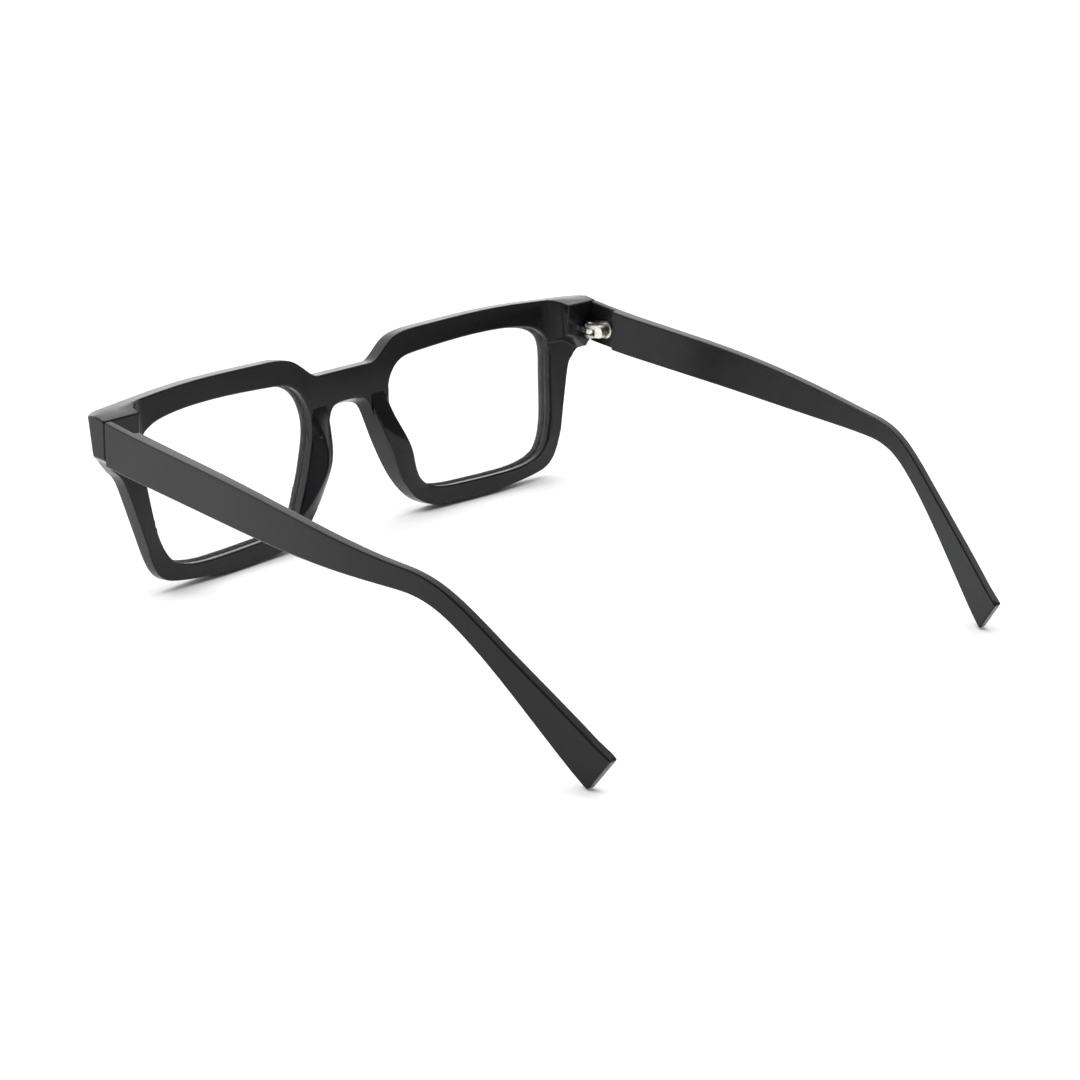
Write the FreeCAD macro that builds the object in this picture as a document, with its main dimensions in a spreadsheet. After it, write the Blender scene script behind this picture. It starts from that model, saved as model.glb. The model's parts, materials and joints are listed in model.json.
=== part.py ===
"""Full-rim acetate spectacle frame, in millimetres.

+X is the wearer's left, the front faces -Y, the temples run to +Y and the frame stands on z = 0.
The front is worked out in its own tilted axes: x across, w up the front and n out of its rear face.
"""
import FreeCAD, Part
import math
import os

Vector = FreeCAD.Vector
Rotation = FreeCAD.Rotation
Placement = FreeCAD.Placement

DOC = FreeCAD.newDocument("SpectacleFrame")
SHEET = DOC.addObject("Spreadsheet::Sheet", "Dimensions")

DIMENSIONS = {
    "half_width": 71.0,
    "rim_thickness": 4.0,
    "rear_face_radius": 565.0,
    "front_tilt": 9.8,
    "front_base_depth": 4.0,
    "front_base_height": 0.9,
    "foot_flat": 0.12,
    "origin_depth": 65.1,
    "joint_depth": 5.45,
    "joint_gap": 0.12,
    "facet_height": 41.3,
    "facet_slope": 7.6,
    "facet_fall": 0.63,
    "platform_slope": 20.0,
    "lens_thickness": 1.2,
    "lens_setback": 1.9,
    "lens_seat": 0.6,
    "lens_play": 0.03,
    "front_lip": 0.35,
    "hinge_across": 67.45,
    "hinge_depth": 7.6,
    "hinge_height": 35.0,
    "hinge_length": 5.1,
    "hinge_lean": 8.5,
    "barrel_radius": 1.55,
    "knuckle_height": 1.3,
    "knuckle_play": 0.08,
    "barrel_foot": 0.1,
    "barrel_crown": 0.05,
    "slot_length": 2.55,
    "plate_thickness": 0.7,
    "plate_margin": 0.5,
    "screw_radius": 0.6,
    "screw_play": 0.04,
    "screw_head_radius": 1.05,
    "screw_head_height": 0.5,
    "anchor_depth": 3.4,
    "anchor_cover": 0.7,
    "anchor_inner": 2.6,
    "anchor_outer": 1.4,
    "anchor_margin": 1.2,
    "neck_inner": 1.3,
    "neck_outer": 1.1,
    "neck_root": 0.2,
    "relief_across": 69.2,
    "relief_depth": 13.5,
    "core_radius": 0.5,
    "clearing": 90.0,
}

for row, (alias, number) in enumerate(DIMENSIONS.items(), start=1):
    SHEET.set("A%d" % row, alias)
    SHEET.set("B%d" % row, str(number))
    SHEET.setAlias("B%d" % row, alias)
DOC.recompute()


def size(alias):
    """The value of one cell of the sheet."""
    return float(SHEET.get(alias))


TILT = math.radians(size("front_tilt"))
UPRIGHT = 90.0
X_AXIS = Vector(1, 0, 0)
Y_AXIS = Vector(0, 1, 0)
Z_AXIS = Vector(0, 0, 1)
FAR = 20.0
OVERSHOOT = 1.0


# ---------------------------------------------------------------- placements

def front_point(across, rise, back):
    """A point given in the front's own axes, in the frame's axes."""
    depth = size("front_base_depth") + back * math.cos(TILT) - rise * math.sin(TILT)
    height = size("front_base_height") + rise * math.cos(TILT) + back * math.sin(TILT)
    return Vector(across, depth, height)


def elevation_plane(back=0.0):
    """Sketch plane of the front's outlines: sketch x across, sketch y up the tilted front."""
    return Placement(front_point(0, 0, back), Rotation(X_AXIS, UPRIGHT + size("front_tilt")))


def plan_plane(rise=0.0):
    """Sketch plane across the front: sketch x across, sketch y towards the front."""
    return Placement(front_point(0, rise, 0), Rotation(X_AXIS, 2 * UPRIGHT + size("front_tilt")))


SIDE_PLANE = Placement(Vector(), Rotation(Vector(1, 1, 1), 120))
TOP_PLANE = Placement()
FACING_PLANE = Placement(Vector(), Rotation(X_AXIS, UPRIGHT))


# ------------------------------------------------------------------- helpers

def flat(point):
    return Vector(point[0], point[1], 0)


def spline(points):
    """A smooth curve through points."""
    curve = Part.BSplineCurve()
    curve.interpolate(Points=[flat(p) for p in points], PeriodicFlag=False)
    return curve


def line(start, finish):
    return Part.LineSegment(flat(start), flat(finish))


def arc(start, middle, finish):
    return Part.Arc(flat(start), flat(middle), flat(finish))


def chain(points):
    """Straight sides from each point to the next and back to the first."""
    return [line(a, b) for a, b in zip(points, points[1:] + points[:1])]


def mirrored(points):
    """The same points on the other side of the middle, in reverse order."""
    return [(-x, y) for x, y in reversed(points)]


def sketch(name, curves, plane):
    drawn = DOC.addObject("Sketcher::SketchObject", name)
    drawn.Placement = plane
    drawn.addGeometry(curves, False)
    return drawn


def extrusion(name, base, length):
    """A solid from a sketch, half of its length on each side of the sketch's plane."""
    solid = DOC.addObject("Part::Extrusion", name)
    solid.Base = base
    solid.DirMode = "Normal"
    solid.Solid = True
    solid.Symmetric = True
    solid.setExpression("LengthFwd", length)
    return solid


def cut(name, base, tool):
    made = DOC.addObject("Part::Cut", name)
    made.Base = base
    made.Tool = tool
    return made


def joined(name, *shapes):
    made = DOC.addObject("Part::MultiFuse", name)
    made.Shapes = list(shapes)
    return made


def shared(name, *shapes):
    made = DOC.addObject("Part::MultiCommon", name)
    made.Shapes = list(shapes)
    return made


def mirror(name, source):
    """The wearer's right piece from the left one."""
    made = DOC.addObject("Part::Mirroring", name)
    made.Source = source
    made.Base = Vector()
    made.Normal = X_AXIS
    return made


def block(name, low, high, plane=TOP_PLANE):
    """A box between two corners, in the axes of plane."""
    box = DOC.addObject("Part::Box", name)
    box.Length = high[0] - low[0]
    box.Width = high[1] - low[1]
    box.Height = high[2] - low[2]
    box.Placement = plane.multiply(Placement(Vector(*low), Rotation()))
    return box


def post(name, radius, low, high):
    """An upright cylinder about the left hinge's pin, its radius an expression of the sheet."""
    rod = DOC.addObject("Part::Cylinder", name)
    rod.setExpression("Radius", radius)
    rod.Height = high - low
    rod.Placement.Base = Vector(size("hinge_across"), size("hinge_depth"), low)
    return rod


PIECES = []


def piece(label, made):
    """Make an object one of the frame's pieces and stand it over the origin."""
    made.Label = label
    made.setExpression("Placement.Base.y", "-Dimensions.origin_depth")
    made.setExpression("Placement.Base.z", "-Dimensions.foot_flat")
    PIECES.append(made)
    return made


def right_piece(label, left):
    made = mirror(label, left)
    made.Label = label
    PIECES.append(made)


def grown(points, amount):
    """A closed clockwise ring of points moved outwards along its own normals."""
    ring = []
    for before, here, after in zip(points[-1:] + points[:-1], points, points[1:] + points[:1]):
        along = Vector(after[0] - before[0], after[1] - before[1], 0).normalize()
        ring.append((here[0] - amount * along.y, here[1] + amount * along.x))
    return ring


# ------------------------------------------------------- outlines of the front

SHOULDER = [(7.7, 36.25), (8.35, 36.36), (9.0, 36.65), (11.8, 38.8), (14.4, 40.6), (17.4, 41.5), (23, 41.85),
            (35, 42.1), (48, 41.95), (60, 41.15), (72.4, 40.4)]
TEMPORAL = [(71.6, 29.95), (71.0, 30.0), (69.1, 29.4), (66.9, 27.8), (65.1, 25.9), (64.2, 23.8), (62.8, 18.6),
            (61.3, 12.8), (59.6, 6.6), (58.2, 3.8), (56.3, 2.1), (53.1, 1.1), (46.7, 0.25), (36.5, -0.4),
            (27.5, -0.1), (22.0, 0.25)]
GAP_FRONT = [(0, 27.4), (3.1, 27.05), (4.6, 26.3), (5.6, 24.5), (6.75, 21.0), (8.7, 15.6), (10.9, 10.3),
             (13.35, 6.3), (16.1, 3.35), (19.0, 1.45), (24.0, -0.15)]
GAP_DRAFT = [(0, 0.33), (0.15, 0.3), (0.13, 0.2), (0.12, 0.05), (0.07, 0), (0.06, 0), (0.06, 0), (0.04, 0),
             (0, 0), (0, 0), (0, 0)]
GAP_FRONT_BACK = -6.0
GAP_REAR_BACK = 8.0
OPENING = [(20.3, 36.2), (30, 36.8), (41.6, 37.0), (51.4, 36.25), (56.3, 34.8), (58.7, 32.6), (59.3, 29.4),
           (58.85, 24.7), (57.9, 15.5), (56.2, 8.8), (54.1, 5.9), (50.2, 4.3), (41.7, 3.6), (30.5, 3.85),
           (22.5, 4.7), (18.9, 6.4), (16.9, 9.6), (14.6, 14.6), (12.65, 20.0), (11.45, 24.5), (11.55, 28.9),
           (13.3, 33.1), (16.2, 35.4)]
BOTTOM_LEVEL = -6.0


def front_outline():
    """The whole elevation of the front with the nose gap still filled."""
    last = TEMPORAL[-1]
    half = [spline(SHOULDER), line(SHOULDER[-1], TEMPORAL[0]), spline(TEMPORAL)]
    shoulder = mirrored(SHOULDER)
    temporal = mirrored(TEMPORAL)
    other = [spline(temporal), line(temporal[-1], shoulder[0]), spline(shoulder)]
    top = line(shoulder[-1], SHOULDER[0])
    return [top] + half + [line(last, temporal[0])] + other


def gap_outline(back):
    """The nose gap's outline at one depth: the arch and both nasal sides, closed below."""
    reach = back - GAP_FRONT_BACK
    half = [(x + dx * reach, w + dw * reach) for (x, w), (dx, dw) in zip(GAP_FRONT, GAP_DRAFT)]
    sides = mirrored(half[1:]) + half
    low = [(half[-1][0], BOTTOM_LEVEL), (-half[-1][0], BOTTOM_LEVEL)]
    return [spline(sides), line(sides[-1], low[0]), line(low[0], low[1]), line(low[1], sides[0])]


def ring_sketch(name, points, plane):
    """A closed smooth ring."""
    curve = Part.BSplineCurve()
    curve.interpolate(Points=[flat(p) for p in points], PeriodicFlag=True)
    return sketch(name, [curve], plane)


# ------------------------------------------------------------- curved layers

WRAP_START = 66.0
WRAP_DROP = 3.15
WRAP_BULGE = 0.62
LAYER_END = 78.0


def surface(radius_gain, across):
    """Sketch height of a curved face of the front: radius_gain is its distance before the rear face."""
    radius = size("rear_face_radius") + radius_gain
    return math.sqrt(radius ** 2 - across ** 2) - size("rear_face_radius")


def layer(name, near, far):
    """The part of space between two curved faces of the front, far before near, out to both ends."""
    end = LAYER_END
    near_arc = arc((end, surface(near, end)), (0, near), (-end, surface(near, end)))
    far_arc = arc((-end, surface(far, end)), (0, far), (end, surface(far, end)))
    ends = [line((-end, surface(near, end)), (-end, surface(far, end))),
            line((end, surface(far, end)), (end, surface(near, end)))]
    drawn = sketch(name + "Plan", [near_arc, ends[0], far_arc, ends[1]], plan_plane())
    return extrusion(name, drawn, "Dimensions.clearing * 2")


COVE = [(56.6, 0), (60.4, -1.45), (61.9, -5.3)]
PLATFORM_DEEP = -9.5
BELOW_PLATFORM = [(56.6, 35.75), (57.5, 35.0), (59.8, 33.1), (62.3, 33.0), (64.0, 32.5), (65.7, 31.4),
                  (67.4, 30.2), (69.0, 29.0), (73.0, 28.0), (73.0, -8.0), (56.6, -8.0)]
PLATFORM_BOTTOM_BACK = 8.5
UNDERSIDE = [(64.4, 23.4), (66.6, 28.2), (69.0, 31.3), (71.05, 33.0), (73, 33.0), (73, 23.4)]
FACET_START = 57.5


def front_plan():
    """The front seen from above: curved faces, wrapped ends and raised endpieces behind the rim."""
    thick = size("rim_thickness")
    end = size("half_width")
    start = (WRAP_START, surface(thick, WRAP_START))
    finish = (end, start[1] - WRAP_DROP)
    middle = ((start[0] + finish[0]) / 2 + WRAP_BULGE / 2, (start[1] + finish[1]) / 2 + WRAP_BULGE)
    step = surface(0, COVE[0][0])
    cove = [(x, f + step) for x, f in COVE]
    corner = (end, PLATFORM_DEEP + step)
    inner = (cove[-1][0], corner[1])
    left = [arc(start, middle, finish), line(finish, corner), line(corner, inner), line(inner, cove[2]),
            arc(*cove[::-1])]
    points = [(-x, f) for x, f in (start, middle, finish, corner, inner)]
    other_cove = [(-x, f) for x, f in cove]
    right = [arc(*other_cove), line(other_cove[2], points[4]), line(points[4], points[3]),
             line(points[3], points[2]), arc(points[2], points[1], points[0])]
    rear = arc(cove[0], (0, 0), other_cove[0])
    front = arc(points[0], (0, thick), start)
    return left + [rear] + right + [front]


def endpiece_cutters():
    """Space under a platform, behind the joint plane, over the sloping top facet and under the endpiece."""
    reach = size("clearing")
    bottom = elevation_plane(PLATFORM_BOTTOM_BACK)
    slope = size("platform_slope")
    sloped = Placement(bottom.Base, Rotation(X_AXIS, slope) * bottom.Rotation)
    profile = [(x, w * math.cos(math.radians(slope))) for x, w in BELOW_PLATFORM]
    below = extrusion("BelowPrism", sketch("BelowPlatform", chain(profile), sloped), "Dimensions.clearing")
    facet_turn = Rotation(X_AXIS, -size("facet_slope")) * Rotation(Y_AXIS, size("facet_fall"))
    facet_plane = Placement(Vector(size("half_width"), size("joint_depth"), size("facet_height")), facet_turn)
    return [shared("BelowSpace", below, layer("BehindRim", -FAR, 0)),
            block("BehindJoint", (0, size("joint_depth"), 0), (reach, reach, reach)),
            block("FacetSpace", (FACET_START - size("half_width"), -reach, 0), (reach, reach, reach), facet_plane),
            extrusion("UndersideSpace", sketch("UndersideSketch", chain(UNDERSIDE), FACING_PLANE),
                      "Dimensions.clearing")]


# ------------------------------------------------------------- rim and lenses

def opening_tool(name, growth, near, far):
    """The lens opening's outline, grown, between two curved faces."""
    ring = ring_sketch(name + "Ring", grown(OPENING, growth), elevation_plane())
    prism = extrusion(name + "Prism", ring, "Dimensions.clearing")
    return shared(name, prism, layer(name + "Layer", near, far))


def build_front(hidden_metal):
    """The one-piece front: outline and plan, less openings, grooves, nose gap and hinge pockets."""
    elevation = sketch("FrontElevation", front_outline(), elevation_plane())
    outline = extrusion("FrontOutline", elevation, "Dimensions.clearing")
    seen_above = sketch("FrontPlanSketch", front_plan(), plan_plane())
    plan = extrusion("FrontPlan", seen_above, "Dimensions.clearing * 2")
    whole = shared("FrontBlank", outline, plan)
    lens_front = size("lens_setback") + size("lens_thickness")
    play = size("lens_play")
    reach = size("clearing")
    opening = joined("OpeningTool", opening_tool("RearOpening", 0.0, -FAR, lens_front),
                     opening_tool("Groove", size("lens_seat") + play, size("lens_setback") - play,
                                  lens_front + play),
                     opening_tool("LipOpening", -size("front_lip"), lens_front, FAR))
    left_tools = endpiece_cutters() + [opening, hidden_metal]
    floor = block("FloorSpace", (-reach, -FAR, -FAR), (reach, FAR, size("foot_flat")))
    for tool in [nose_gap(), floor] + left_tools + [mirror(tool.Name + "Right", tool) for tool in left_tools]:
        whole = cut("Less" + tool.Name, whole, tool)
    return piece("frame_front", whole)


def nose_gap():
    """The drafted space between the two nasal sides, under the bridge."""
    sections = [sketch("GapFrontSketch", gap_outline(GAP_FRONT_BACK), elevation_plane(GAP_FRONT_BACK)),
                sketch("GapRearSketch", gap_outline(GAP_REAR_BACK), elevation_plane(GAP_REAR_BACK))]
    loft = DOC.addObject("Part::Loft", "NoseGap")
    loft.Sections = sections
    loft.Solid = True
    loft.Ruled = True
    return loft


def build_lenses():
    lens = opening_tool("LensLeft", size("lens_seat"), size("lens_setback"),
                        size("lens_setback") + size("lens_thickness"))
    left = piece("lens_left", lens)
    right_piece("lens_right", left)


# ------------------------------------------------------------------ nose pads

# Height on the front, nasal side, crest across, crest depth and lens side of each section of a pad.
PAD_SECTIONS = [(29.5, 6.6, 10.3, 0.05, 11.6), (27.0, 6.45, 10.55, 0.9, 11.55), (24.0, 6.7, 10.6, 2.5, 11.7),
                (21.0, 7.3, 11.0, 4.1, 12.35), (18.0, 8.2, 11.85, 5.0, 13.4), (15.5, 9.1, 12.8, 4.85, 14.3),
                (13.0, 10.1, 13.85, 3.95, 15.3), (10.5, 11.15, 15.1, 2.8, 16.4), (8.0, 12.45, 16.8, 1.6, 17.8),
                (5.6, 14.2, 19.0, 0.5, 19.6), (4.2, 15.5, 20.2, 0.05, 20.8)]
PAD_ROOT = -0.8
WALL_SHARE = 0.38
ROUND_SHARE = 0.61


def pad_section(index, rise, nasal, crest, deep, lens_side):
    """One cross-section of a pad: nasal wall, rounded bearing side, crest and lens-side wall."""
    wall = deep * WALL_SHARE
    middle = (crest - (crest - nasal) * ROUND_SHARE, wall + (deep - wall) * ROUND_SHARE)
    corners = [(nasal, -PAD_ROOT), (nasal, -wall), (crest, -deep), (lens_side, -PAD_ROOT)]
    curves = [line(corners[0], corners[1]), arc(corners[1], (middle[0], -middle[1]), corners[2]),
              line(corners[2], corners[3]), line(corners[3], corners[0])]
    return sketch("PadSection%d" % index, curves, plan_plane(rise))


def build_pads():
    loft = DOC.addObject("Part::Loft", "PadLoft")
    loft.Sections = [pad_section(i, *row) for i, row in enumerate(PAD_SECTIONS)]
    loft.Solid = True
    rim_space = layer("PadSeat", 0, FAR)
    gap = DOC.getObject("NoseGap")
    left = piece("nose_pad_left", cut("NosePadLeft", loft, joined("PadTools", rim_space, gap)))
    right_piece("nose_pad_right", left)


# -------------------------------------------------------------------- hinges

def knuckle_levels():
    """Heights of the centre knuckle's two ends."""
    middle = size("hinge_height")
    half_knuckle = size("knuckle_height") / 2
    return middle - half_knuckle, middle + half_knuckle


def barrel_levels():
    """Heights of the foot of the lower barrel and the crown of the upper one."""
    radius = size("barrel_radius")
    return (size("hinge_height") - radius - size("barrel_foot"),
            size("hinge_height") + radius + size("barrel_crown"))


def leaf_profile(margin):
    """The temple leaf's long rounded outline, seen from the side, on the leaning centre line."""
    lean = math.radians(size("hinge_lean"))
    radius = size("barrel_radius") + margin
    along = (math.cos(lean), math.sin(lean))
    start = (size("hinge_depth"), size("hinge_height"))
    finish = (start[0] + along[0] * (size("hinge_length") - size("barrel_radius")),
              start[1] + along[1] * (size("hinge_length") - size("barrel_radius")))
    side = (-along[1] * radius, along[0] * radius)
    corners = [(start[0] + side[0], start[1] + side[1]), (finish[0] + side[0], finish[1] + side[1]),
               (finish[0] - side[0], finish[1] - side[1]), (start[0] - side[0], start[1] - side[1])]
    tip = (finish[0] + along[0] * radius, finish[1] + along[1] * radius)
    return [line(corners[0], corners[1]), arc(corners[1], tip, corners[2]), line(corners[2], corners[3]),
            line(corners[3], corners[0])]


def side_block(name, profile, low, high):
    """A side-view profile made solid between two distances from the middle of the frame."""
    plane = Placement(Vector(low, 0, 0), SIDE_PLANE.Rotation)
    drawn = sketch(name + "Side", profile, plane)
    solid = DOC.addObject("Part::Extrusion", name)
    solid.Base = drawn
    solid.DirMode = "Normal"
    solid.Solid = True
    solid.LengthFwd = high - low
    return solid


def build_temple_leaf():
    across = size("hinge_across")
    radius = size("barrel_radius")
    relief = size("relief_across")
    plate_face = relief - size("plate_thickness")
    play = size("knuckle_play")
    gap_low, gap_high = knuckle_levels()
    reach = size("clearing")
    arms = side_block("LeafArms", leaf_profile(0), across - radius, plate_face)
    plate = side_block("LeafPlate", leaf_profile(size("plate_margin")), plate_face, relief)
    low, high = barrel_levels()
    barrel = post("LeafBarrel", "Dimensions.barrel_radius", low, high)
    slot_end = size("hinge_depth") + size("slot_length")
    slot = block("LeafSlot", (0, 0, gap_low - play), (reach, slot_end, gap_high + play))
    bore = post("LeafBore", "Dimensions.screw_radius", low - OVERSHOOT, high + OVERSHOOT)
    solid = joined("LeafBlank", arms, plate, barrel)
    left = piece("temple_hinge_leaf_left", cut("TempleHingeLeaf", solid, joined("LeafTools", slot, bore)))
    right_piece("temple_hinge_leaf_right", left)


def build_front_leaf():
    """The centre knuckle, its neck and the anchor sunk in the endpiece."""
    across = size("hinge_across")
    low, high = knuckle_levels()
    deep = size("joint_depth") - size("anchor_depth")
    covered = size("joint_depth") - size("anchor_cover")
    margin = size("anchor_margin")
    knuckle = post("Knuckle", "Dimensions.barrel_radius", low, high)
    neck = block("Neck", (across - size("neck_inner"), covered - size("neck_root"), low),
                 (across + size("neck_outer"), size("hinge_depth"), high))
    anchor = block("Anchor", (across - size("anchor_inner"), deep, low - margin),
                   (across + size("anchor_outer"), covered, high + margin))
    bore = post("KnuckleBore", "Dimensions.screw_radius + Dimensions.screw_play", low - OVERSHOOT,
                high + OVERSHOOT)
    solid = joined("FrontLeafBlank", knuckle, neck, anchor)
    left = piece("front_hinge_leaf_left", cut("FrontHingeLeaf", solid, bore))
    right_piece("front_hinge_leaf_right", left)
    return joined("HiddenMetal", anchor, neck)


def build_screw():
    """A slotless hinge screw: shank through the three barrels and a low head over the top one."""
    low, top = barrel_levels()
    shank = post("ScrewShank", "Dimensions.screw_radius", low, top)
    head = post("ScrewHead", "Dimensions.screw_head_radius", top, top + size("screw_head_height"))
    left = piece("hinge_screw_left", joined("HingeScrew", shank, head))
    right_piece("hinge_screw_right", left)


# ------------------------------------------------------------------- temples

TEMPLE_TOP = [(20.3, 40.18), (40.3, 39.35), (60.3, 37.89), (80.2, 35.71), (90.2, 34.74), (95.2, 34.28),
              (100.2, 32.95), (105.2, 30.30), (112.5, 24.98), (122.5, 17.5), (130.0, 11.8), (135.9, 7.05)]
TEMPLE_BOTTOM = [(20.2, 30.94), (40.2, 30.36), (60.2, 29.75), (75.2, 29.55), (90.2, 29.76), (95.2, 29.55),
                 (100.2, 28.08), (105.2, 25.03), (112.5, 18.95), (122.5, 9.2), (131.4, 0.6)]
BUTT_TOP = 41.24
BUTT_BOTTOM = 31.68
TIP_TOP_ROUND = (136.75, 6.95)
TIP_TOP_END = (136.6, 6.2)
TIP_LOW_ROUND = (131.9, 0.12)
TIP_LOW_END = (132.5, 0.55)
OUTER_PLAN = [(20, 71.1), (35, 71.45), (52, 71.75), (65, 71.6), (80, 70.7), (90, 69.4), (100, 67.5),
              (110, 65.0), (120, 62.3), (130, 59.5), (139, 57.0)]
THICKNESS = [2.85, 2.65, 2.45, 2.3, 2.15, 2.05, 2.0, 2.05, 2.1, 2.15, 2.15]
BUTT_THICKNESS = 3.0
CORE_PATH = [(69.6, 16.5, 35.7), (70.1, 35, 35.05), (70.55, 52, 34.3), (70.4, 68, 33.35), (69.65, 80, 32.65),
             (68.4, 90, 32.2), (66.95, 98, 31.0), (65.0, 106, 26.9), (61.8, 118, 17.0), (59.25, 127, 9.1)]
BEND_SHARE = 0.45


def temple_side():
    butt = size("joint_depth") + size("joint_gap")
    top = [(butt, BUTT_TOP)] + TEMPLE_TOP
    bottom = [(butt, BUTT_BOTTOM)] + TEMPLE_BOTTOM
    return [spline(top), arc(top[-1], TIP_TOP_ROUND, TIP_TOP_END), line(TIP_TOP_END, TIP_LOW_END),
            arc(TIP_LOW_END, TIP_LOW_ROUND, bottom[-1]), spline(bottom[::-1]), line(bottom[0], top[0])]


def temple_plan():
    butt = size("joint_depth") + size("joint_gap")
    outer = [(size("half_width"), butt)] + [(x, y) for y, x in OUTER_PLAN]
    inner = [(size("half_width") - BUTT_THICKNESS, butt)]
    inner += [(x - thick, y) for (y, x), thick in zip(OUTER_PLAN, THICKNESS)]
    return [spline(outer), line(outer[-1], inner[-1]), spline(inner[::-1]), line(inner[0], outer[0])]


def core_spine():
    """The core wire's route: straight runs with tangent arcs between them."""
    points = [Vector(*p) for p in CORE_PATH]
    edges = []
    start = points[0]
    for before, here, after in zip(points, points[1:], points[2:]):
        reach = BEND_SHARE * min((before - here).Length, (after - here).Length)
        back = (before - here).normalize()
        ahead = (after - here).normalize()
        half_turn = (math.pi - back.getAngle(ahead)) / 2
        radius = reach / math.tan(half_turn)
        entry = here + back * reach
        leave = here + ahead * reach
        inward = (back + ahead).normalize()
        middle = here + inward * (radius / math.cos(half_turn) - radius)
        edges += [Part.LineSegment(start, entry).toShape(), Part.Arc(entry, middle, leave).toShape()]
        start = leave
    edges.append(Part.LineSegment(start, points[-1]).toShape())
    spine = DOC.addObject("Part::Feature", "CoreSpine")
    spine.Shape = Part.Wire(edges)
    return spine


def build_core():
    spine = core_spine()
    first = Vector(*CORE_PATH[0])
    ahead = Vector(*CORE_PATH[1]) - first
    ring = DOC.addObject("Part::Circle", "CoreSection")
    ring.setExpression("Radius", "Dimensions.core_radius")
    ring.Placement = Placement(first, Rotation(Z_AXIS, ahead))
    sweep = DOC.addObject("Part::Sweep", "CoreSweep")
    sweep.Sections = [ring]
    sweep.Spine = spine
    sweep.Solid = True
    sweep.Frenet = False
    return sweep


def build_temple():
    seen_beside = sketch("TempleSideSketch", temple_side(), SIDE_PLANE)
    side = extrusion("TempleSide", seen_beside, "Dimensions.clearing * 2")
    seen_above = sketch("TemplePlanSketch", temple_plan(), TOP_PLANE)
    plan = extrusion("TemplePlan", seen_above, "Dimensions.clearing * 2")
    blank = shared("TempleBlank", side, plan)
    reach = size("clearing")
    relief = block("TempleRelief", (0, 0, 0), (size("relief_across"), size("relief_depth"), reach))
    floor = block("TipFloor", (0, 0, -FAR), (reach, 2 * reach, size("foot_flat")))
    core = build_core()
    left = piece("temple_left", cut("TempleLeft", blank, joined("TempleTools", relief, floor, core)))
    right_piece("temple_right", left)
    wire = piece("temple_core_wire_left", shared("CoreWire", core, blank))
    right_piece("temple_core_wire_right", wire)


# --------------------------------------------------------------------- build

buried = build_front_leaf()
build_front(buried)
build_lenses()
build_pads()
build_temple_leaf()
build_screw()
build_temple()
DOC.recompute()

for thing in DOC.Objects:
    if "Invalid" in thing.State or "Error" in thing.State:
        raise RuntimeError("%s failed: %s" % (thing.Name, thing.State))
os.makedirs("parts", exist_ok=True)
for made in PIECES:
    shape = made.Shape
    if shape.isNull() or not shape.isValid():
        raise RuntimeError("%s has no valid shape" % made.Label)
    print("%-26s solids %d volume %9.2f  %s" % (made.Label, len(shape.Solids), shape.Volume, shape.BoundBox))
    shape.exportStep("parts/%s.step" % made.Label)
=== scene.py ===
"""A full-rim acetate spectacle frame standing open on a white table, seen from behind its left temple."""
import json
import math

import bmesh
import bpy
from mathutils import Matrix, Vector
from mathutils.bvhtree import BVHTree


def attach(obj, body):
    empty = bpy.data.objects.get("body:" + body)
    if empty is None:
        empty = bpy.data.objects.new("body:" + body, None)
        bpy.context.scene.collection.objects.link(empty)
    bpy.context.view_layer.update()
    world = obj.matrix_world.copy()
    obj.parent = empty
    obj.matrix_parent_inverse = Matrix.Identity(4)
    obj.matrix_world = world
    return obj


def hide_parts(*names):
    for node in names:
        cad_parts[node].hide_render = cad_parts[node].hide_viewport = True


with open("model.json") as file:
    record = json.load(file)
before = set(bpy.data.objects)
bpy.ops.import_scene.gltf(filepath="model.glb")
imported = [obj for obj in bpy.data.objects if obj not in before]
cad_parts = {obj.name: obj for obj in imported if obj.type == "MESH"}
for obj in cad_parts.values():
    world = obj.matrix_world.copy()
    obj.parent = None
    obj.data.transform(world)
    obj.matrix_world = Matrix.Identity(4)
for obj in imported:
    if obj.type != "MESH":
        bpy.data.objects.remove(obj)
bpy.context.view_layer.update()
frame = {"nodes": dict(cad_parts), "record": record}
MM = 0.001


# ------------------------------------------------------------------ camera

CAMERA_PLACE = Vector((0.3923676, 0.3879703, 0.2200668))
CAMERA_AZIMUTH = math.radians(135.067)
CAMERA_ELEVATION = math.radians(20.3974)
CAMERA_ROLL = math.radians(1.24885)
CAMERA_LENS = 94.47
SENSOR_WIDTH = 36.0
CLIP_NEAR = 0.01
CLIP_FAR = 20


def make_camera():
    """The camera, turned by azimuth and elevation about the frame and then rolled about its own view."""
    roll = CAMERA_ROLL
    back = Vector((math.sin(CAMERA_AZIMUTH) * math.cos(CAMERA_ELEVATION),
                   -math.cos(CAMERA_AZIMUTH) * math.cos(CAMERA_ELEVATION), math.sin(CAMERA_ELEVATION)))
    level = Vector((0, 0, 1)).cross(back).normalized()
    upright = back.cross(level)
    right = level * math.cos(roll) + upright * math.sin(roll)
    up = upright * math.cos(roll) - level * math.sin(roll)
    data = bpy.data.cameras.new("Camera")
    data.sensor_width = SENSOR_WIDTH
    data.lens = CAMERA_LENS
    data.clip_start = CLIP_NEAR
    data.clip_end = CLIP_FAR
    camera = bpy.data.objects.new("Camera", data)
    bpy.context.scene.collection.objects.link(camera)
    turn = Matrix((right, up, back)).transposed()
    camera.matrix_world = Matrix.Translation(CAMERA_PLACE) @ turn.to_4x4()
    bpy.context.scene.camera = camera


make_camera()


# --------------------------------------------------------------- materials

GRAIN_DEPTH = 0.02 * MM


def new_material(name):
    """A node material, its tree and its Principled shader."""
    material = bpy.data.materials.new(name)
    material.use_nodes = True
    tree = material.node_tree
    return material, tree, tree.nodes["Principled BSDF"]


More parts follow.
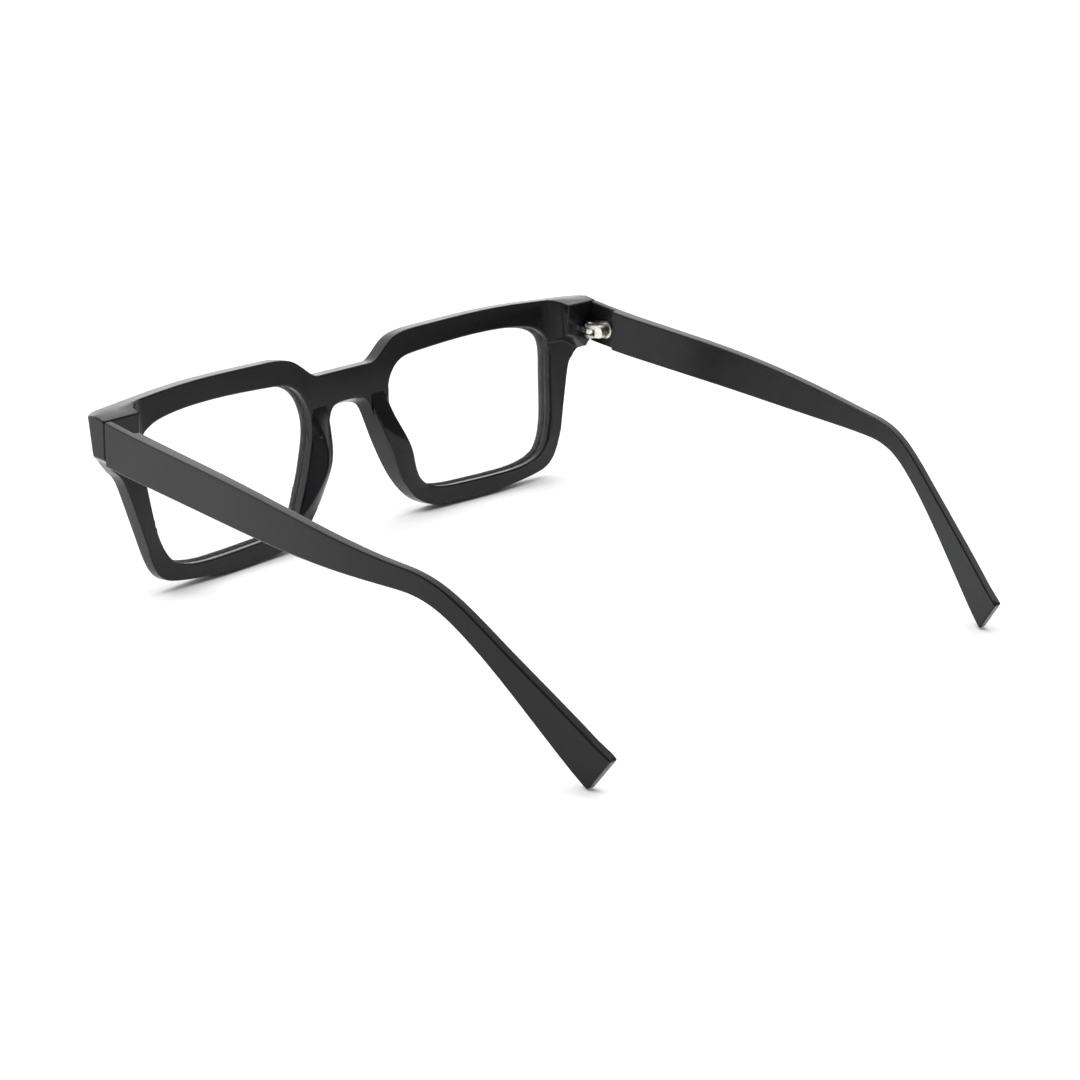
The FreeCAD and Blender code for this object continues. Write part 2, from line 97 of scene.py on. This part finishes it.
def noise(tree, scale, detail, rough=0.5):
    """A noise factor in the object's own space."""
    place = tree.nodes.new("ShaderNodeTexCoord")
    grain = tree.nodes.new("ShaderNodeTexNoise")
    grain.inputs["Scale"].default_value = scale
    grain.inputs["Detail"].default_value = detail
    grain.inputs["Roughness"].default_value = rough
    tree.links.new(place.outputs["Object"], grain.inputs["Vector"])
    return grain.outputs["Fac"]


def ramp(tree, factor, low, high):
    """Turns a noise factor into a colour or a grey between low and high."""
    steps = tree.nodes.new("ShaderNodeValToRGB")
    steps.color_ramp.elements[0].position = 0.3
    steps.color_ramp.elements[1].position = 0.7
    steps.color_ramp.elements[0].color = (*low, 1)
    steps.color_ramp.elements[1].color = (*high, 1)
    tree.links.new(factor, steps.inputs["Fac"])
    return steps.outputs["Color"]


def bump(tree, factor, shader, strength):
    """A fine unevenness in the shader's normal."""
    node = tree.nodes.new("ShaderNodeBump")
    node.inputs["Strength"].default_value = strength
    node.inputs["Distance"].default_value = GRAIN_DEPTH
    tree.links.new(factor, node.inputs["Height"])
    tree.links.new(node.outputs["Normal"], shader.inputs["Normal"])


def make_acetate():
    """Polished black acetate: near-black with a faint cool mottle and the slight haze that tumbling leaves."""
    material, tree, shader = new_material("black_acetate")
    mottle = noise(tree, 90, 3)
    tree.links.new(ramp(tree, mottle, (0.0060, 0.0062, 0.0071), (0.0085, 0.0088, 0.0100)),
                   shader.inputs["Base Color"])
    haze = noise(tree, 260, 4, 0.6)
    tree.links.new(ramp(tree, haze, (0.19,) * 3, (0.26,) * 3), shader.inputs["Roughness"])
    shader.inputs["IOR"].default_value = 1.34
    bump(tree, noise(tree, 1400, 2), shader, 0.03)
    return material


def make_metal(name, low, high, rough_low, rough_high):
    """Barrel-finished metal between two tints and two roughnesses."""
    material, tree, shader = new_material(name)
    tree.links.new(ramp(tree, noise(tree, 700, 3), low, high), shader.inputs["Base Color"])
    shader.inputs["Metallic"].default_value = 1.0
    tree.links.new(ramp(tree, noise(tree, 1600, 3), (rough_low,) * 3, (rough_high,) * 3),
                   shader.inputs["Roughness"])
    bump(tree, noise(tree, 2600, 2), shader, 0.08)
    return material


def make_lens():
    """Clear demonstration lens: only its soft surface shine shows."""
    material, tree, shader = new_material("clear_lens")
    tree.links.new(ramp(tree, noise(tree, 40, 2), (0.93, 0.95, 0.96), (0.98, 0.99, 1.0)),
                   shader.inputs["Base Color"])
    tree.links.new(ramp(tree, noise(tree, 300, 2), (0.02,) * 3, (0.04,) * 3), shader.inputs["Roughness"])
    shader.inputs["IOR"].default_value = 1.49
    shader.inputs["Alpha"].default_value = 0.07
    return material


ACETATE = make_acetate()
SILVER = make_metal("nickel_silver", (0.80, 0.77, 0.68), (0.88, 0.85, 0.76), 0.26, 0.34)
STEEL = make_metal("stainless_steel", (0.60, 0.60, 0.61), (0.72, 0.72, 0.73), 0.15, 0.25)
SPRING = make_metal("spring_steel", (0.42, 0.42, 0.43), (0.50, 0.50, 0.52), 0.28, 0.38)
CLEAR = make_lens()


# ------------------------------------------------------------------ pieces

SHARP = math.radians(27)
CREASE = math.radians(42)
FLAT_ENOUGH = math.radians(0.5)
WELD = 0.004 * MM
MITER_SPREAD = 0.1 * MM
HOLLOW_SHARE = 0.45
STRAY_SHARE = 2
FRONT_ROUND = 0.38 * MM
PAD_ROUND = 0.3 * MM
TEMPLE_ROUND = 0.35 * MM
TEMPLE_LEAF_ROUND = 0.22 * MM
FRONT_LEAF_ROUND = 0.1 * MM


def body_of(node):
    """The moving body that a CAD node belongs to."""
    for body, nodes in frame["record"]["behaviour"]["bodies"].items():
        if node in nodes:
            return body
    raise ValueError(node)


def settle(work, surface, width):
    """Bring corners that the rounding threw off the surface back onto it."""
    for vert in work.verts:
        place, normal, _, gap = surface.find_nearest(vert.co)
        outside = (vert.co - place).dot(normal) > 0
        if gap > STRAY_SHARE * width or (outside and gap > HOLLOW_SHARE * width):
            vert.co = place


def smoothed(node, width, material, segments=3, keep=None, prepare=None):
    """A copy of a CAD node with its sharp edges rounded, which stands for it.

    keep(edge) tells the edges that stay sharp; prepare(work) simplifies the mesh first.
    """
    source = frame["nodes"][node]
    shown = bpy.data.objects.new(node + "_shown", source.data.copy())
    shown.data.transform(source.matrix_world)
    bpy.context.scene.collection.objects.link(shown)
    work = bmesh.new()
    work.from_mesh(shown.data)
    bmesh.ops.remove_doubles(work, verts=work.verts, dist=WELD)
    bmesh.ops.dissolve_limit(work, angle_limit=FLAT_ENOUGH, verts=work.verts, edges=work.edges)
    if prepare:
        prepare(work)
    edges = [e for e in work.edges if len(e.link_faces) == 2 and e.calc_face_angle(0) > SHARP
             and not (keep and keep(e))]
    surface = BVHTree.FromBMesh(work)
    bmesh.ops.bevel(work, geom=edges, offset=width, offset_type="OFFSET", segments=segments, profile=0.5,
                    affect="EDGES", clamp_overlap=False, miter_outer="ARC", miter_inner="ARC",
                    spread=MITER_SPREAD, harden_normals=False, loop_slide=True)
    settle(work, surface, width)
    for face in work.faces:
        face.smooth = True
    for edge in work.edges:
        edge.smooth = len(edge.link_faces) != 2 or edge.calc_face_angle(0) < CREASE
    work.to_mesh(shown.data)
    work.free()
    shown.data.materials.clear()
    shown.data.materials.append(material)
    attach(shown, body_of(node))
    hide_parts(node)
    weighted = shown.modifiers.new("Normals", "WEIGHTED_NORMAL")
    weighted.keep_sharp = True
    weighted.weight = 100


FRONT_TILT = math.radians(9.8)
REAR_FACE_FOOT = Vector((0, -61.1 * MM, 0.78 * MM))
REAR_FACE_RADIUS = 565 * MM
PAD_REACH = 19.5 * MM
PAD_FOOT = 4.5 * MM
PAD_TOP = 29.5 * MM
ON_REAR_FACE = 0.25 * MM
PAD_ROOT = 0.45 * MM


def behind_rim(point):
    """Distance of a point behind the front's tilted and curved rear face, in metres."""
    local = point - REAR_FACE_FOOT
    depth = local.y * math.cos(FRONT_TILT) + local.z * math.sin(FRONT_TILT)
    return depth - point.x ** 2 / (2 * REAR_FACE_RADIUS)


def meets_pad(edge):
    """Edges of the front that a nose pad covers or runs on from."""
    middle = (edge.verts[0].co + edge.verts[1].co) / 2
    return (abs(middle.x) < PAD_REACH and PAD_FOOT < middle.z < PAD_TOP
            and abs(behind_rim(middle)) < ON_REAR_FACE)


def on_rim(edge):
    """Edges of a pad that lie on the front's rear face."""
    return any(behind_rim(vert.co) < PAD_ROOT for vert in edge.verts)


# The two corners of a temple's tip: where each begins (y, z), the line between the temple's inner and outer
# face there, and the place (y, z) of the corner itself.
TIP_TOP = {"start": (70.7 * MM, 6.0 * MM), "inner": 57.2 * MM, "corner": (71.5 * MM, 6.85 * MM)}
TIP_FOOT = {"start": (66.1 * MM, 0.5 * MM), "inner": 58.2 * MM, "corner": (66.95 * MM, 0.02 * MM)}


def square_tip(work):
    """Draw the fine steps round a temple tip's corners together, so that they round like other edges."""
    corners = {}
    for vert in work.verts:
        top = vert.co.y > TIP_TOP["start"][0] and vert.co.z > TIP_TOP["start"][1]
        foot = vert.co.y > TIP_FOOT["start"][0] and vert.co.z < TIP_FOOT["start"][1]
        if top or foot:
            tip = TIP_TOP if top else TIP_FOOT
            inner = abs(vert.co.x) < tip["inner"]
            corners.setdefault((top, inner), []).append(vert)
    for (top, _), verts in corners.items():
        across = sum(vert.co.x for vert in verts) / len(verts)
        tip = TIP_TOP if top else TIP_FOOT
        bmesh.ops.pointmerge(work, verts=verts, merge_co=(across, *tip["corner"]))


smoothed("frame_front", FRONT_ROUND, ACETATE, keep=meets_pad)
for side in ("left", "right"):
    smoothed("nose_pad_" + side, PAD_ROUND, ACETATE, keep=on_rim)
    smoothed("temple_" + side, TEMPLE_ROUND, ACETATE, prepare=square_tip)
    smoothed("temple_hinge_leaf_" + side, TEMPLE_LEAF_ROUND, SILVER, segments=2)
    smoothed("front_hinge_leaf_" + side, FRONT_LEAF_ROUND, SILVER, segments=2)
    for node, material in (("lens_", CLEAR), ("hinge_screw_", STEEL), ("temple_core_wire_", SPRING)):
        own = frame["nodes"][node + side].data.materials
        own.clear()
        own.append(material)


# ------------------------------------------------------------------- stage

FLOOR_HALF = 4.0
FLOOR_DROP = 0.02 * MM
FLOOR_WHITE = (0.92, 0.92, 0.92, 1)
BRIGHT_SIDE = (-0.5, -0.75, -0.12)
WORLD_STEPS = ((0.46, 0.2), (0.57, 1.5), (0.85, 1.6))


def grey(level):
    return (level, level, level, 1)


def make_floor():
    """A plain white table that the frame stands on."""
    half = FLOOR_HALF
    corners = [(-half, -half, 0), (half, -half, 0), (half, half, 0), (-half, half, 0)]
    mesh = bpy.data.meshes.new("Floor")
    mesh.from_pydata(corners, [], [(0, 1, 2, 3)])
    floor = bpy.data.objects.new("Floor", mesh)
    bpy.context.scene.collection.objects.link(floor)
    material, tree, shader = new_material("floor")
    shader.inputs["Base Color"].default_value = FLOOR_WHITE
    shader.inputs["Roughness"].default_value = 0.9
    shader.inputs["Specular IOR Level"].default_value = 0.0
    mesh.materials.append(material)
    floor.location.z = -FLOOR_DROP


def make_world():
    """Bright away from the camera, low down; dark overhead and behind the camera."""
    world = bpy.data.worlds.new("Studio")
    bpy.context.scene.world = world
    world.use_nodes = True
    tree = world.node_tree
    place = tree.nodes.new("ShaderNodeTexCoord")
    facing = tree.nodes.new("ShaderNodeVectorMath")
    facing.operation = "DOT_PRODUCT"
    facing.inputs[1].default_value = BRIGHT_SIDE
    tree.links.new(place.outputs["Generated"], facing.inputs[0])
    shift = tree.nodes.new("ShaderNodeMath")
    shift.operation = "MULTIPLY_ADD"
    shift.inputs[1].default_value = 0.5
    shift.inputs[2].default_value = 0.5
    tree.links.new(facing.outputs["Value"], shift.inputs[0])
    steps = tree.nodes.new("ShaderNodeValToRGB")
    elements = steps.color_ramp.elements
    elements[0].position = 0.0
    elements[0].color = grey(0.2)
    elements[1].position = 1.0
    elements[1].color = grey(2.0)
    for position, level in WORLD_STEPS:
        elements.new(position).color = grey(level)
    tree.links.new(shift.outputs["Value"], steps.inputs["Fac"])
    tree.links.new(steps.outputs["Color"], tree.nodes["Background"].inputs["Color"])
    tree.nodes["Background"].inputs["Strength"].default_value = 1.0


def area(name, place, aim, side, power):
    """A square lamp that lights surfaces but isn't mirrored in them."""
    data = bpy.data.lights.new(name, "AREA")
    data.shape = "RECTANGLE"
    data.size = side
    data.size_y = side
    data.energy = power
    light = bpy.data.objects.new(name, data)
    light.location = place
    light.rotation_mode = "QUATERNION"
    light.rotation_quaternion = (Vector(aim) - Vector(place)).to_track_quat("-Z", "Y")
    light.visible_glossy = False
    bpy.context.scene.collection.objects.link(light)


make_floor()
make_world()
area("Overhead", place=(0, 0, 2.0), aim=(0, 0, 0), side=2.5, power=40)
area("Side", place=(0.45, -0.35, 0.6), aim=(0.2, -0.15, 0), side=0.3, power=1.1)
bpy.context.scene.view_settings.view_transform = "Standard"
